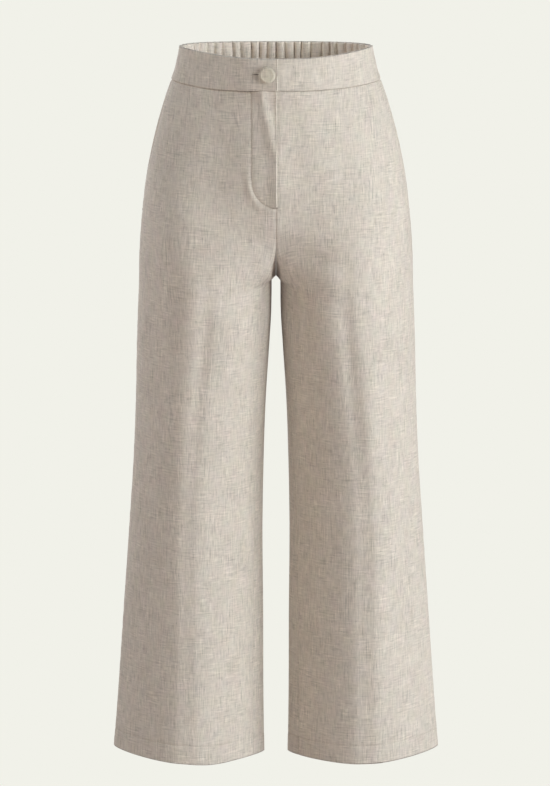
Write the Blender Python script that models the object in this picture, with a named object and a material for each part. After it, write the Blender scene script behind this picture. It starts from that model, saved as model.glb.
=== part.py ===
"""Palazzo trousers: high-waisted, wide-legged, in a linen weave, filled out as worn with nobody inside.

Flat front band with a lapped end and one cloth-covered button, J-shaped fly, slanted side pockets,
elasticated back band, soft creases down the legs and a turned hem.

The tables are in millimetres and the meshes in metres. +Z is up, the front faces -Y, and the wearer's
left is at +X. The origin is the middle of the waist, half way up the band at the sides.

The cloth follows rings. A place on a ring is its turn, in degrees: -180 centre front or inseam, -90 front
crease, 0 side, 90 back crease, 180 centre back or inseam. A ring's level is its height at the side.
Everything is worked out for the wearer's left and mirrored for the right.
"""

from math import cos, pi, radians, sin
from types import SimpleNamespace

import bmesh
import bpy
import numpy as np
from mathutils import Matrix, Vector

for leftover in list(bpy.data.objects):
    bpy.data.objects.remove(leftover, do_unlink=True)

MM = 0.001
LEFT = 1
RIGHT = -1

# ---------------------------------------------------------------- driving sizes, mm
CLOTH = 1.5
HEM_CLOTH = 3.0
BAND_CLOTH = 2.4
BAND_PROUD = 0.5
GAP = 0.3

BAND_TOP = 22.0
WAIST_SEAM = -22.2
SIDE_SEAM_TURN = -4.0
CREASE_TURN = 90.0

FRONT_FORK = -190.0
BACK_FORK = -160.0
CROTCH_LEVEL = -290.0
CROTCH_Y = -4.0
CROTCH_Z = -281.0
CROTCH_ARCH = 4.6
FORK_TURN = 45.0

HEM_LEVEL = -915.0
HEM_DEPTH = 24.5

POCKET_TOP = -45.0
POCKET_BOTTOM = -190.0
POCKET_GAPE = 9.0
FACING_MARGIN = 10.0
FACING_PAST_SEAM = 6.0
FACING_PAST_MOUTH = 5.0
FACING_CLOTH = 1.2
FACING_CLEARANCE = 0.9

LAP_PAST_CENTRE = 2.0
UNDERLAP = 33.0
LAP_RISE_FROM = 56.0
LAP_RISE_TO = 36.0

FLY_WIDTH = 31.0
FLY_PAST_CENTRE = 0.8
FLY_STRAIGHT_END = -141.0
FLY_CURVE_DROP = 35.0
FLY_CLOTH = 1.2

GATHERS_PER_HALF = 13
GATHER_DEPTH = 2.0
GATHER_FADE_LEVEL = -118.0

BUTTON_X = -11.5
BUTTON_LEVEL = -0.5
BUTTON_RADIUS = 10.4
BUTTON_SIDES = 24

# How far apart, in level and in turn, the points are that a wall's direction is taken from.
LEVEL_STEP = 4.0
TURN_STEP = 4.0


class RingTable:
    """Named columns read at any level, by a smooth curve through the rows."""

    def __init__(self, columns, rows):
        self.columns = columns.split()
        self.rows = np.array(sorted(rows), dtype=float)
        levels = self.rows[:, 0]
        step = np.diff(levels)
        slope = np.diff(self.rows, axis=0) / step[:, None]
        inner = (slope[:-1] * step[1:, None] + slope[1:] * step[:-1, None]) / (step[:-1] + step[1:])[:, None]
        self.slopes = np.vstack([slope[0], inner, slope[-1]])

    def at(self, level):
        levels = self.rows[:, 0]
        low = int(np.clip(np.searchsorted(levels, level) - 1, 0, len(levels) - 2))
        span = levels[low + 1] - levels[low]
        s = (level - levels[low]) / span
        row = (
            (2 * s**3 - 3 * s**2 + 1) * self.rows[low]
            + (s**3 - 2 * s**2 + s) * span * self.slopes[low]
            + (3 * s**2 - 2 * s**3) * self.rows[low + 1]
            + (s**3 - s**2) * span * self.slopes[low + 1]
        )
        return SimpleNamespace(**dict(zip(self.columns, row)))


# Rings round the body, waist to crotch. width: centre to side. front, back: depth from the side line.
# front_crease, back_crease: centre to crease. power: 2 is an ellipse, less is more pointed.
# front_dip, back_dip: how much lower the ring runs there than at the side.
BODY = RingTable(
    "level width front back front_crease back_crease power front_dip back_dip",
    [
        (22, 126.0, 87, 87, 24, 24, 1.80, 8.3, 2.5),
        (8, 127.4, 87.5, 88.5, 24, 24, 1.80, 8.2, 2.5),
        (-8, 130.6, 89, 91, 25, 26, 1.82, 8.0, 2.5),
        (-22, 135.5, 91, 94.5, 26, 28, 1.84, 7.6, 2.4),
        (-50, 145.3, 96, 102, 29, 34, 1.88, 6.0, 2.0),
        (-90, 156.9, 104, 112, 34, 42, 1.92, 3.5, 1.0),
        (-140, 167.8, 111, 122, 42, 52, 1.95, 1.0, 0.0),
        (-200, 175.3, 115, 128, 58, 66, 1.94, 0.0, 0.0),
        (-245, 178.7, 114, 127, 74, 79, 1.88, 0.0, 0.0),
        (-290, 179.8, 111, 121, 88, 90, 1.80, 0.0, 0.0),
    ],
)

# Rings round one leg, crotch to hem. inner: centre plane to the leg's inner edge. inner_y: its depth.
# lift: how much higher the ring runs at the inner edge than at the crease, under the crotch. drop: how much
# lower the whole ring runs at the inner edge than at the side. seam_turn: how far the inseam sits forward
# of the inner edge.
LEG = RingTable(
    "level width front back front_crease back_crease power inner inner_y lift drop seam_turn",
    [
        (-290, 179.8, 111, 121, 88, 90, 1.80, 4.6, -4, 10.5, 0.0, 0),
        (-298, 180.1, 110.5, 120, 89, 91, 1.79, 5.0, -4, 11.5, 0.0, 1),
        (-310, 180.7, 110, 118.5, 90, 92, 1.78, 5.2, -3, 8.5, 0.0, 3),
        (-330, 181.5, 108.5, 116, 91, 93, 1.76, 5.8, -2, 4.5, 0.0, 5),
        (-366, 182.8, 105, 111, 94, 95, 1.70, 8.4, 0, 1.0, 0.0, 9),
        (-446, 184.8, 98.5, 103, 103, 101, 1.60, 13.6, 2, 0.0, 0.3, 15),
        (-527, 188.4, 94.5, 98, 111, 106, 1.52, 16.4, 2, 0.0, 1.0, 19),
        (-608, 194.0, 92, 95, 116, 110, 1.46, 17.8, 2, 0.0, 2.0, 22),
        (-730, 202.9, 91, 94, 117, 113, 1.40, 17.0, 1, 0.0, 4.0, 24),
        (-853, 211.8, 92, 95, 118, 116, 1.37, 16.5, 1, 0.0, 6.0, 25),
        (-915, 216.9, 93, 96, 119, 118, 1.36, 15.6, 0, 0.0, 7.0, 25),
    ],
)

# Soft folds pressed into or out of the cloth, each along a line from x1, z1 to x2, z2. face: -1 front,
# 1 back. reach: half its width. height: out of the garment, or into it where negative.
FOLDS = [
    dict(zip("face x1 z1 x2 z2 reach height".split(), row))
    for row in [
        (-1, 88, -330, 122, -430, 20, -5.0),
        (-1, 122, -430, 112, -600, 18, -3.5),
        (-1, 14, -238, 104, -262, 16, -3.0),
        (-1, 16, -262, 70, -330, 16, 2.5),
        (-1, -16, -258, -120, -170, 22, 2.5),
        (-1, -14, -246, -92, -300, 15, -2.5),
        (-1, -104, -300, -124, -470, 18, -2.5),
        (-1, 40, -90, 92, -200, 24, 2.0),
        (-1, -158, -560, -150, -850, 22, -2.5),
        (-1, 150, -620, 170, -860, 24, -2.5),
        (1, 20, -240, 118, -330, 22, -2.8),
        (1, -22, -242, -112, -345, 22, -3.2),
        (1, 60, -290, 96, -430, 18, 3.0),
        (1, -64, -285, -92, -450, 18, 3.0),
        (1, 118, -420, 104, -640, 20, -4.0),
        (1, -112, -440, -120, -680, 20, -4.0),
        (1, 150, -640, 172, -860, 24, -3.0),
        (1, -148, -600, -166, -850, 24, -3.0),
    ]
]

# Levels of the rows of points.
BAND_LEVELS = [BAND_TOP, 8.0, -7.0, WAIST_SEAM]
BODY_LEVELS = [WAIST_SEAM, -34, POCKET_TOP, -58, -75, -95, GATHER_FADE_LEVEL, -142, -166, POCKET_BOTTOM]
FORK_LEVELS = [-210, -230, -250, -270, CROTCH_LEVEL]
LEG_LEVELS = [-297, -310, -332, -366, -406, -450, -497, -545, -595, -648, -702, -758, -814, -860]
HEM_LEVELS = [HEM_LEVEL + HEM_DEPTH + CLOTH, HEM_LEVEL + HEM_DEPTH, HEM_LEVEL]
PANEL_LEVELS = BODY_LEVELS + FORK_LEVELS + LEG_LEVELS + HEM_LEVELS

FINE_GATHER_LEVELS = BODY_LEVELS[:4]
HALF_GATHER_LEVELS = BODY_LEVELS[4:6]
OUTER_COLUMNS = 9
INNER_COLUMNS = 6


# ---------------------------------------------------------------- the form that the cloth follows
def arc(angle, power):
    """Cosine and sine of a rounded, or slightly pointed, quarter."""
    return abs(cos(radians(angle))) ** (2 / power), abs(sin(radians(angle))) ** (2 / power)


def body_point(level, turn):
    if abs(turn) > 180:
        x, y, z = body_point(level, np.sign(turn) * (360 - abs(turn)))
        return np.array([-x, y, z])
    ring = BODY.at(level)
    front = turn < 0
    crease = ring.front_crease if front else ring.back_crease
    depth = -ring.front if front else ring.back
    dip = ring.front_dip if front else ring.back_dip
    if abs(turn) <= CREASE_TURN:
        across, deep = arc(turn, ring.power)
        return np.array([crease + (ring.width - crease) * across, depth * deep, level - dip * deep**2])
    fork = FRONT_FORK if front else BACK_FORK
    under = max(0.0, (fork - level) / (fork - CROTCH_LEVEL))
    seam_y = depth + (CROTCH_Y - depth) * (1 - cos(under * pi / 2))
    seam_z = level - dip if under == 0 else fork - dip - (fork - CROTCH_Z) * sin(under * pi / 2)
    last = FORK_TURN + (CREASE_TURN - FORK_TURN) * under
    arch = CROTCH_ARCH * under
    share = (abs(turn) - CREASE_TURN) / CREASE_TURN
    deep, across = arc(last * share, ring.power)
    last_deep, last_across = arc(last, ring.power)
    return np.array([
        crease - (crease - arch) * across / last_across - arch * share**6,
        depth + (seam_y - depth) * (1 - deep) / (1 - last_deep),
        level - dip + (seam_z - level + dip) * share**2,
    ])


def leg_point(level, turn):
    turn = (turn + 180) % 360 - 180
    ring = LEG.at(level)
    crease = ring.front_crease if turn < 0 else ring.back_crease
    depth = -ring.front if turn < 0 else ring.back
    across, deep = arc(turn, ring.power)
    past_crease = max(0.0, abs(turn) / CREASE_TURN - 1)
    if past_crease == 0:
        x = crease + (ring.width - crease) * across
        y = depth * deep
    else:
        x = crease - (crease - ring.inner) * across
        y = ring.inner_y + (depth - ring.inner_y) * deep
    z = level + ring.lift * past_crease**2 - ring.drop * (ring.width - x) / (ring.width - ring.inner)
    return np.array([x, y, z])


def ring_point(level, turn):
    return body_point(level, turn) if level >= CROTCH_LEVEL else leg_point(level, turn)


def ring_normal(level, turn):
    """Square to the cloth, out of the garment."""
    point_on = body_point if level >= CROTCH_LEVEL else leg_point
    above = level + LEVEL_STEP if point_on is body_point else min(level + LEVEL_STEP, CROTCH_LEVEL)
    below = level - LEVEL_STEP if point_on is leg_point else max(level - LEVEL_STEP, CROTCH_LEVEL)
    across = point_on(level, turn + TURN_STEP) - point_on(level, turn - TURN_STEP)
    upward = point_on(above, turn) - point_on(below, turn)
    normal = np.cross(across, upward)
    return normal / np.linalg.norm(normal)


def seam_mitre(level, turn, normal):
    """How much further to go along the seam's normal, so that the wall keeps its thickness at a valley."""
    if level < CROTCH_LEVEL or abs(turn) != 180:
        return 1.0
    beside = ring_normal(level, turn - np.sign(turn) * 1.5 * TURN_STEP)
    return 1 / max(0.5, float(normal @ beside))


def fold_relief(point, normal, hand):
    """Height of the soft folds at a point, on the face that it belongs to."""
    height = 0.0
    x, z = point[0] * hand, point[2]
    for fold in FOLDS:
        facing = max(0.0, fold["face"] * normal[1])
        start = np.array([fold["x1"], fold["z1"]])
        line = np.array([fold["x2"], fold["z2"]]) - start
        along = float(np.clip((np.array([x, z]) - start) @ line / (line @ line), 0, 1))
        away = np.linalg.norm(np.array([x, z]) - start - along * line)
        height += fold["height"] * facing * np.exp(-((away / fold["reach"]) ** 2)) * sin(pi * (0.15 + 0.7 * along))
    return height


def cloth_pair(level, turn, hand, thickness, raised=0.0):
    """Outer and inner point of a wall, in the wearer's-left frame."""
    point = ring_point(level, turn)
    if level == CROTCH_LEVEL and abs(turn) == 180:
        normal = np.array([0.0, 0.0, -1.0])
        mitre = 1.5  # four walls meet at the crotch point
    else:
        normal = ring_normal(level, turn)
        mitre = seam_mitre(level, turn, normal)
    outer = point + normal * (raised + fold_relief(point, normal, hand))
    return np.array([outer, outer - normal * thickness * mitre])


def turn_at_x(level, x):
    """The turn on the front of a body ring at a distance from the centre, past it where negative."""
    turns = np.linspace(-300, -60, 241)
    return float(np.interp(x, [body_point(level, t)[0] for t in turns], turns))


# ---------------------------------------------------------------- walls
def share_along(row):
    """How far along its row each outer point lies, from 0 to 1."""
    outer = np.array([pair[0] for pair in row])
    length = np.concatenate([[0], np.cumsum(np.linalg.norm(np.diff(outer, axis=0), axis=1))])
    return length / length[-1]


def strip(upper, lower):
    """Triangles between two rows, as (row, column) corners, for a wall's outer face."""
    corners = []
    if len(upper) == len(lower):
        for k in range(len(upper) - 1):
            fall = np.linalg.norm(upper[k][0] - lower[k + 1][0])
            rise = np.linalg.norm(lower[k][0] - upper[k + 1][0])
            if fall < rise:
                corners += [((0, k), (1, k), (1, k + 1)), ((0, k), (1, k + 1), (0, k + 1))]
            else:
                corners += [((0, k), (1, k), (0, k + 1)), ((1, k), (1, k + 1), (0, k + 1))]
        return corners
    top, bottom = share_along(upper), share_along(lower)
    i = j = 0
    while i < len(upper) - 1 or j < len(lower) - 1:
        if j == len(lower) - 1 or (i < len(upper) - 1 and top[i + 1] <= bottom[j + 1]):
            corners.append(((0, i), (1, j), (0, i + 1)))
            i += 1
        else:
            corners.append(((0, i), (1, j), (1, j + 1)))
            j += 1
    return corners


def close_to_seam(rows, first, last):
    """Draw a wall's two side edges back by half a seam gap. first, last: whether on the centre plane."""
    for level_rows in rows:
        for end, beside, on_centre in ((0, 1, first), (-1, -2, last)):
            pair = level_rows[end]
            if on_centre and abs(pair[0][0]) < GAP:
                pair[:, 0] = GAP / 2
            else:
                back = level_rows[beside][0] - pair[0]
                pair += back / np.linalg.norm(back) * GAP / 2


def wall(name, rows, hand, material):
    """A closed wall of cloth from rows of (outer, inner) points, top row first, turns increasing."""
    mesh = bmesh.new()
    corners = [
        [[mesh.verts.new(Vector((p[0] * hand, p[1], p[2])) * MM) for p in pair] for pair in row] for row in rows
    ]

    def face(*verts):
        mesh.faces.new(verts if hand == LEFT else verts[::-1])

    for upper, lower, upper_verts, lower_verts in zip(rows, rows[1:], corners, corners[1:]):
        both = (upper_verts, lower_verts)
        for triangle in strip(upper, lower):
            face(*[both[r][k][0] for r, k in triangle])
            face(*[both[r][k][1] for r, k in reversed(triangle)])
        (a, a_in), (b, b_in) = upper_verts[0], lower_verts[0]
        face(a, a_in, b_in, b)
        (a, a_in), (b, b_in) = upper_verts[-1], lower_verts[-1]
        face(a, b, b_in, a_in)
    for (a, a_in), (b, b_in) in zip(corners[0], corners[0][1:]):
        face(a, b, b_in, a_in)
    for (a, a_in), (b, b_in) in zip(corners[-1], corners[-1][1:]):
        face(a, a_in, b_in, b)
    return finish(name, mesh, material)


def finish(name, mesh, material):
    data = bpy.data.meshes.new(name)
    mesh.to_mesh(data)
    mesh.free()
    data.shade_smooth()
    data.set_sharp_from_angle(angle=radians(50))
    data.materials.append(material)
    piece = bpy.data.objects.new(name, data)
    bpy.context.scene.collection.objects.link(piece)
    return piece


def cloth_material(name, colour, roughness):
    material = bpy.data.materials.new(name)
    material.use_nodes = True
    shader = material.node_tree.nodes["Principled BSDF"]
    shader.inputs["Base Color"].default_value = (*colour, 1)
    shader.inputs["Roughness"].default_value = roughness
    shader.inputs["Metallic"].default_value = 0.0
    return material


# ---------------------------------------------------------------- front panels, with their pocket mouths
def pocket_gape(level):
    """How far, in turn, the front's edge stands forward of the side seam at the pocket mouth."""
    down = (POCKET_TOP - level) / (POCKET_TOP - POCKET_BOTTOM)
    return POCKET_GAPE * sin(pi * down**0.65) if 0 < down < 1 else 0.0


def inseam_turn(level):
    return LEG.at(level).seam_turn if level < CROTCH_LEVEL else 0.0


def panel_cloth(level):
    return HEM_CLOTH if level <= HEM_LEVEL + HEM_DEPTH else CLOTH


def front_row(level, hand):
    edge = SIDE_SEAM_TURN - pocket_gape(level)
    inner = np.linspace(-180 + inseam_turn(level), -CREASE_TURN, INNER_COLUMNS, endpoint=False)
    outer = np.linspace(-CREASE_TURN, edge, OUTER_COLUMNS + 1)
    return [cloth_pair(level, turn, hand, panel_cloth(level)) for turn in [*inner, *outer]]


def lower_top_edge(row):
    for pair in row:
        pair[:, 2] -= GAP / 2


def front_panel(name, hand, material):
    rows = [front_row(level, hand) for level in PANEL_LEVELS]
    lower_top_edge(rows[0])
    close_to_seam(rows, first=True, last=False)
    part_at_crotch(rows, 0, -1)
    wall(name, rows, hand, material)


def part_at_crotch(rows, end, away):
    """Keep the crotch point clear of the other face of the same leg."""
    rows[PANEL_LEVELS.index(CROTCH_LEVEL)][end][:, 1] += away * GAP / 2


# ---------------------------------------------------------------- back panels and their gathers
def gather_columns(hand):
    """(share, height) down one half of the back, from the centre back at 0 to the side seam at 1."""
    count = np.arange(GATHERS_PER_HALF)
    uneven = 1.9 if hand == LEFT else 2.6
    widths = 1 + 0.28 * np.sin(uneven * count + 0.6) + 0.5 * count / GATHERS_PER_HALF
    bounds = np.concatenate([[0], np.cumsum(widths)]) / widths.sum()
    depths = GATHER_DEPTH * (1 + 0.3 * np.sin(1.3 * uneven * count + 1.1))
    columns = []
    for k in count:
        trough = -0.5 * (depths[k] + depths[max(0, k - 1)]) / 2 if k else -0.5 * GATHER_DEPTH
        width = bounds[k + 1] - bounds[k]
        for quarter, height in enumerate((trough, 0.0, 0.5 * depths[k], 0.0)):
            columns.append((bounds[k] + width * quarter / 4, height))
    return columns + [(1.0, 0.0)]


def back_turn(level, share):
    """The turn at a share of the way round from the centre back to the side seam."""
    turns = np.linspace(180, SIDE_SEAM_TURN, 93)
    points = np.array([body_point(level, t) for t in turns])
    length = np.concatenate([[0], np.cumsum(np.linalg.norm(np.diff(points, axis=0), axis=1))])
    return float(np.interp(share * length[-1], length, turns))


def gathered_row(level, hand, columns, thickness, proud, fade):
    """Turns increasing, so from the side seam to the centre back."""
    row = []
    for share, height in reversed(columns):
        turn = 180 if share == 0 else back_turn(level, share)
        row.append(cloth_pair(level, turn, hand, thickness, proud + height * fade))
    return row


def back_row(level, hand):
    columns = gather_columns(hand)
    fade = max(0.0, (level - GATHER_FADE_LEVEL) / (WAIST_SEAM - GATHER_FADE_LEVEL)) ** 1.4
    if level in FINE_GATHER_LEVELS:
        return gathered_row(level, hand, columns, CLOTH, 0, fade)
    if level in HALF_GATHER_LEVELS:
        return gathered_row(level, hand, columns[::2], CLOTH, 0, fade)
    outer = np.linspace(SIDE_SEAM_TURN, CREASE_TURN, OUTER_COLUMNS + 1, endpoint=False)
    inner = np.linspace(CREASE_TURN, 180 + inseam_turn(level), INNER_COLUMNS + 1)
    return [cloth_pair(level, turn, hand, panel_cloth(level)) for turn in [*outer, *inner]]


def back_panel(name, hand, material):
    rows = [back_row(level, hand) for level in PANEL_LEVELS]
    lower_top_edge(rows[0])
    close_to_seam(rows, first=False, last=True)
    part_at_crotch(rows, -1, 1)
    wall(name, rows, hand, material)


# ---------------------------------------------------------------- waistband
def raise_bottom_edge(row):
    for pair in row:
        pair[:, 2] += GAP / 2


def front_band(name, hand, lapping, material):
    """From the centre lap to the side seam. lapping: the half on top, which rises over the underlap."""
    past_centre = LAP_PAST_CENTRE if lapping else UNDERLAP
    places = [-past_centre, -past_centre / 2, 0, 12, 24, 34, 42, 50, 58]
    rows = []
    for level in BAND_LEVELS:
        turns = [turn_at_x(level, x) for x in places]
        turns += list(np.linspace(turn_at_x(level, places[-1]), SIDE_SEAM_TURN, OUTER_COLUMNS + 1)[1:])
        row = []
        for turn in turns:
            x = body_point(level, turn)[0]
            rise = np.clip((LAP_RISE_FROM - x) / (LAP_RISE_FROM - LAP_RISE_TO), 0, 1) if lapping else 0.0
            lift = (BAND_CLOTH + GAP) * rise**2 * (3 - 2 * rise)
            row.append(cloth_pair(level, turn, hand, BAND_CLOTH, BAND_PROUD + lift))
        rows.append(row)
    raise_bottom_edge(rows[-1])
    close_to_seam(rows, first=False, last=False)
    wall(name, rows, hand, material)


def back_band(name, material):
    """One piece round the back, from the left side seam to the right."""
    rows = []
    for level in BAND_LEVELS:
        left = gathered_row(level, LEFT, gather_columns(LEFT), BAND_CLOTH, BAND_PROUD, 1)
        right = gathered_row(level, RIGHT, gather_columns(RIGHT), BAND_CLOTH, BAND_PROUD, 1)
        for pair in right:
            pair[:, 0] *= -1
        rows.append(left + right[-2::-1])
    raise_bottom_edge(rows[-1])
    close_to_seam(rows, first=False, last=False)
    wall(name, rows, LEFT, material)


# ---------------------------------------------------------------- fly, pocket facings and button
def fly_placket(name, material):
    """J-shaped doubling on the right front, straight down and then curved in to the centre front."""
    straight = np.linspace(WAIST_SEAM - 2 * GAP, FLY_STRAIGHT_END, 7)
    curve = [FLY_STRAIGHT_END - FLY_CURVE_DROP * sin(radians(a)) for a in (18, 36, 52, 66, 80)]
    rows = []
    for level in [*straight, *curve]:
        down = max(0.0, (FLY_STRAIGHT_END - level) / FLY_CURVE_DROP)
        width = FLY_WIDTH * (1 - down**2) ** 0.5
        turns = [turn_at_x(level, x) for x in np.linspace(-FLY_PAST_CENTRE, width, 5)]
        rows.append([cloth_pair(level, turn, RIGHT, FLY_CLOTH, GAP + FLY_CLOTH) for turn in turns])
    wall(name, rows, RIGHT, material)


def pocket_facing(name, hand, material):
    """Strip of the pocket's back, under the front's edge and the side seam, seen in the mouth."""
    mouth = [level for level in BODY_LEVELS if POCKET_BOTTOM < level < POCKET_TOP]
    levels = [POCKET_TOP + FACING_PAST_MOUTH, *mouth, POCKET_BOTTOM - FACING_PAST_MOUTH]
    sunk = -(CLOTH + FACING_CLEARANCE)
    rows = []
    for level in levels:
        front_edge = SIDE_SEAM_TURN - pocket_gape(level) - FACING_MARGIN
        turns = np.linspace(front_edge, SIDE_SEAM_TURN + FACING_PAST_SEAM, 6)
        rows.append([cloth_pair(level, turn, hand, FACING_CLOTH, sunk) for turn in turns])
    wall(name, rows, hand, material)


def button(name, material):
    """Domed button turned round its own axis, then seated flat on the lapped end of the band."""
    profile = [(0, 0), (8.6, 0), (9.9, 0.7), (BUTTON_RADIUS, 2.0), (9.9, 3.4), (8.2, 4.7), (5.0, 5.6), (0, 6.1)]
    mesh = bmesh.new()
    verts = [mesh.verts.new((radius * MM, 0, height * MM)) for radius, height in profile]
    edges = [mesh.edges.new(pair) for pair in zip(verts, verts[1:])]
    bmesh.ops.spin(
        mesh, geom=verts + edges, cent=(0, 0, 0), axis=(0, 0, 1), angle=2 * pi, steps=BUTTON_SIDES, use_merge=True
    )
    bmesh.ops.remove_doubles(mesh, verts=mesh.verts, dist=0.00001)
    bmesh.ops.recalc_face_normals(mesh, faces=mesh.faces)
    turn = turn_at_x(BUTTON_LEVEL, -BUTTON_X)
    normal = ring_normal(BUTTON_LEVEL, turn) * (RIGHT, 1, 1)
    raised = BAND_PROUD + BAND_CLOTH + 2 * GAP
    seat = ring_point(BUTTON_LEVEL, turn) * (RIGHT, 1, 1) + normal * raised
    facing = Vector((0, 0, 1)).rotation_difference(Vector(normal)).to_matrix().to_4x4()
    bmesh.ops.transform(mesh, matrix=Matrix.Translation(Vector(seat) * MM) @ facing, verts=mesh.verts)
    finish(name, mesh, material)


# ---------------------------------------------------------------- the trousers
LINEN = cloth_material("linen", (0.60, 0.53, 0.44), 0.9)
BAND_LINEN = cloth_material("band_linen", (0.60, 0.53, 0.44), 0.88)
BUTTON_LINEN = cloth_material("button_linen", (0.56, 0.49, 0.40), 0.85)

front_panel("front_left", LEFT, LINEN)
front_panel("front_right", RIGHT, LINEN)
back_panel("back_left", LEFT, LINEN)
back_panel("back_right", RIGHT, LINEN)
front_band("waistband_front_left", LEFT, False, BAND_LINEN)
front_band("waistband_front_right", RIGHT, True, BAND_LINEN)
back_band("waistband_back", BAND_LINEN)
fly_placket("fly_placket", LINEN)
pocket_facing("pocket_facing_left", LEFT, LINEN)
pocket_facing("pocket_facing_right", RIGHT, LINEN)
button("button", BUTTON_LINEN)
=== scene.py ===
"""Palazzo trousers in an oatmeal linen weave: high-waisted and wide-legged, filled out with nobody inside.

Lengths are in metres where they go to Blender, and in millimetres in the tables and the cloth's own
sizes, as a cutter writes them. +Z is up, the front faces -Y, and the wearer's left is at +X. The origin
is the middle of the waist, half way up the band at the sides.
"""

from math import cos, pi, radians, sin
from types import SimpleNamespace

import bpy
import numpy as np
from mathutils import Matrix, Vector


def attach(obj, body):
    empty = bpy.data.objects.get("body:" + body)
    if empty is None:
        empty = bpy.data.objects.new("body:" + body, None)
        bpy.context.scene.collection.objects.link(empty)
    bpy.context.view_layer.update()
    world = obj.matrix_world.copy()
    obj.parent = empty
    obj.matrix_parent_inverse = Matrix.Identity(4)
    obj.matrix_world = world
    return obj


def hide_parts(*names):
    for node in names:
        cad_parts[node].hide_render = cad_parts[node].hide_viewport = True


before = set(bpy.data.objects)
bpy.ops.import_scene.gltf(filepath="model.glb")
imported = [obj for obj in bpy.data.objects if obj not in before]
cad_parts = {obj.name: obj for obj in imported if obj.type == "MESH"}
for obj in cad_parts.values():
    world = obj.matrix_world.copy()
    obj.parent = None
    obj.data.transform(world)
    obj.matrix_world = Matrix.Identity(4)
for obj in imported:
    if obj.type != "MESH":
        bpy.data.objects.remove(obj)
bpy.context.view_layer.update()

# ---------------------------------------------------------------- camera, floor and light
# A long lens a little above the waist looks slightly down, as the photo does. The floor and the backdrop
# are one pale paper sweep, lit so evenly that it holds no shadow. One big soft lamp stands to the right of
# the front, a weaker one to the left, two high at the sides and one behind. Pale fill comes from all round.
bpy.ops.object.select_all(action="DESELECT")
scene = bpy.context.scene
scene.view_settings.view_transform = "Standard"

CAMERA_PLACE, CAMERA_PITCH = (-0.0013, -5.5, 0.5328), 10.0
CAMERA_LENS, CAMERA_SENSOR, CAMERA_SIGHT = 194.06, 36, 60
bpy.ops.object.camera_add(location=CAMERA_PLACE, rotation=(radians(90 - CAMERA_PITCH), 0, 0))
camera = bpy.context.object
camera.name = "studio_camera"
camera.data.sensor_width = CAMERA_SENSOR
camera.data.lens = CAMERA_LENS
camera.data.clip_end = CAMERA_SIGHT
scene.camera = camera

PAPER = (0.8796, 0.8796, 0.8148)
FLOOR_GLOW, FLOOR_LEVEL, FLOOR_SIDE = (0.49, 0.437, 0.437), -1.05, 30.0
FILL, FILL_STRENGTH = (1.0, 0.96, 0.93), 0.03


def set_sockets(node, **values):
    """Plain values for a node's sockets, by name, with _ for a blank."""
    for name, value in values.items():
        node.inputs[name.replace("_", " ")].default_value = value
    return node


def paper_light(owner, kind, output, given, strength):
    """Paper that the camera sees in one even colour, and that gives the cloth another."""
    owner.use_nodes = True
    nodes, links = owner.node_tree.nodes, owner.node_tree.links
    nodes.clear()
    path = nodes.new("ShaderNodeLightPath")
    seen = set_sockets(nodes.new(kind), Color=(*PAPER, 1))
    lit = set_sockets(nodes.new(kind), Color=(*given, 1), Strength=strength)
    mix = nodes.new("ShaderNodeMixShader")
    out = nodes.new(output)
    links.new(path.outputs["Is Camera Ray"], mix.inputs["Fac"])
    links.new(lit.outputs[0], mix.inputs[1])
    links.new(seen.outputs[0], mix.inputs[2])
    links.new(mix.outputs[0], out.inputs["Surface"])


bpy.ops.mesh.primitive_plane_add(size=FLOOR_SIDE, location=(0, 0, FLOOR_LEVEL))
floor = bpy.context.object
floor.name = "paper_floor"
floor_paper = bpy.data.materials.new("floor_paper")
paper_light(floor_paper, "ShaderNodeEmission", "ShaderNodeOutputMaterial", FLOOR_GLOW, 1.0)
floor.data.materials.append(floor_paper)

scene.world = bpy.data.worlds.new("studio")
paper_light(scene.world, "ShaderNodeBackground", "ShaderNodeOutputWorld", FILL, FILL_STRENGTH)

MIDDLE = (0, 0, -0.45)


def soft_lamp(name, place, side, watts, colour):
    """A square lamp that faces the middle of the trousers. Its place and side are in metres."""
    bpy.ops.object.light_add(type="AREA", location=place)
    lamp = bpy.context.object
    lamp.name = name
    lamp.data.shape = "SQUARE"
    lamp.data.size = side
    lamp.data.energy = watts
    lamp.data.color = colour
    toward = Vector([there - here for there, here in zip(MIDDLE, place)])
    lamp.rotation_euler = toward.to_track_quat("-Z", "Y").to_euler()


soft_lamp("key_lamp", (3.50, -2.50, 0.50), 2.6, 174, (0.95, 0.995, 1.0))
soft_lamp("left_lamp", (-3.51, -2.19, 1.05), 2.2, 44, (1.0, 0.88, 0.72))
soft_lamp("left_high_lamp", (-3.11, 0.0, 2.66), 1.8, 53, (0.78, 0.88, 1.0))
soft_lamp("high_lamp", (3.00, -0.80, 2.66), 1.8, 32, (1.0, 0.97, 0.97))
soft_lamp("back_lamp", (-1.5, 4.0, 0.9), 2.2, 100, (1.0, 1.0, 1.0))

# ---------------------------------------------------------------- front panels
# The two fronts run from the waist seam to the hem, one down each leg, cut in plain linen and sewn together
# at the centre front and the crotch. Their outer edges are cut away at the pocket mouths, the fly edge is
# pressed, and the hem is turned up inside and sewn round.
MM = 0.001
LEFT, RIGHT = 1, -1
SIDES = ((LEFT, "left"), (RIGHT, "right"))
CLOTH = 1.1
HEM_CLOTH = 2.4
SIDE_SEAM = -4.0
CREASE_TURN = 90.0
FRONT_FORK, BACK_FORK = -190.0, -160.0
CROTCH_LEVEL, CROTCH_Y, CROTCH_Z, CROTCH_ARCH = -290.0, -4.0, -281.0, 4.6
FORK_TURN = 45.0
WAIST_SEAM = -22.2
HEM_LEVEL, HEM_DEPTH = -915.0, 24.5
HEM_TOP = HEM_LEVEL + HEM_DEPTH
POCKET_TOP, POCKET_BOTTOM, POCKET_GAPE = -45.0, -190.0, 4.0
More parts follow.
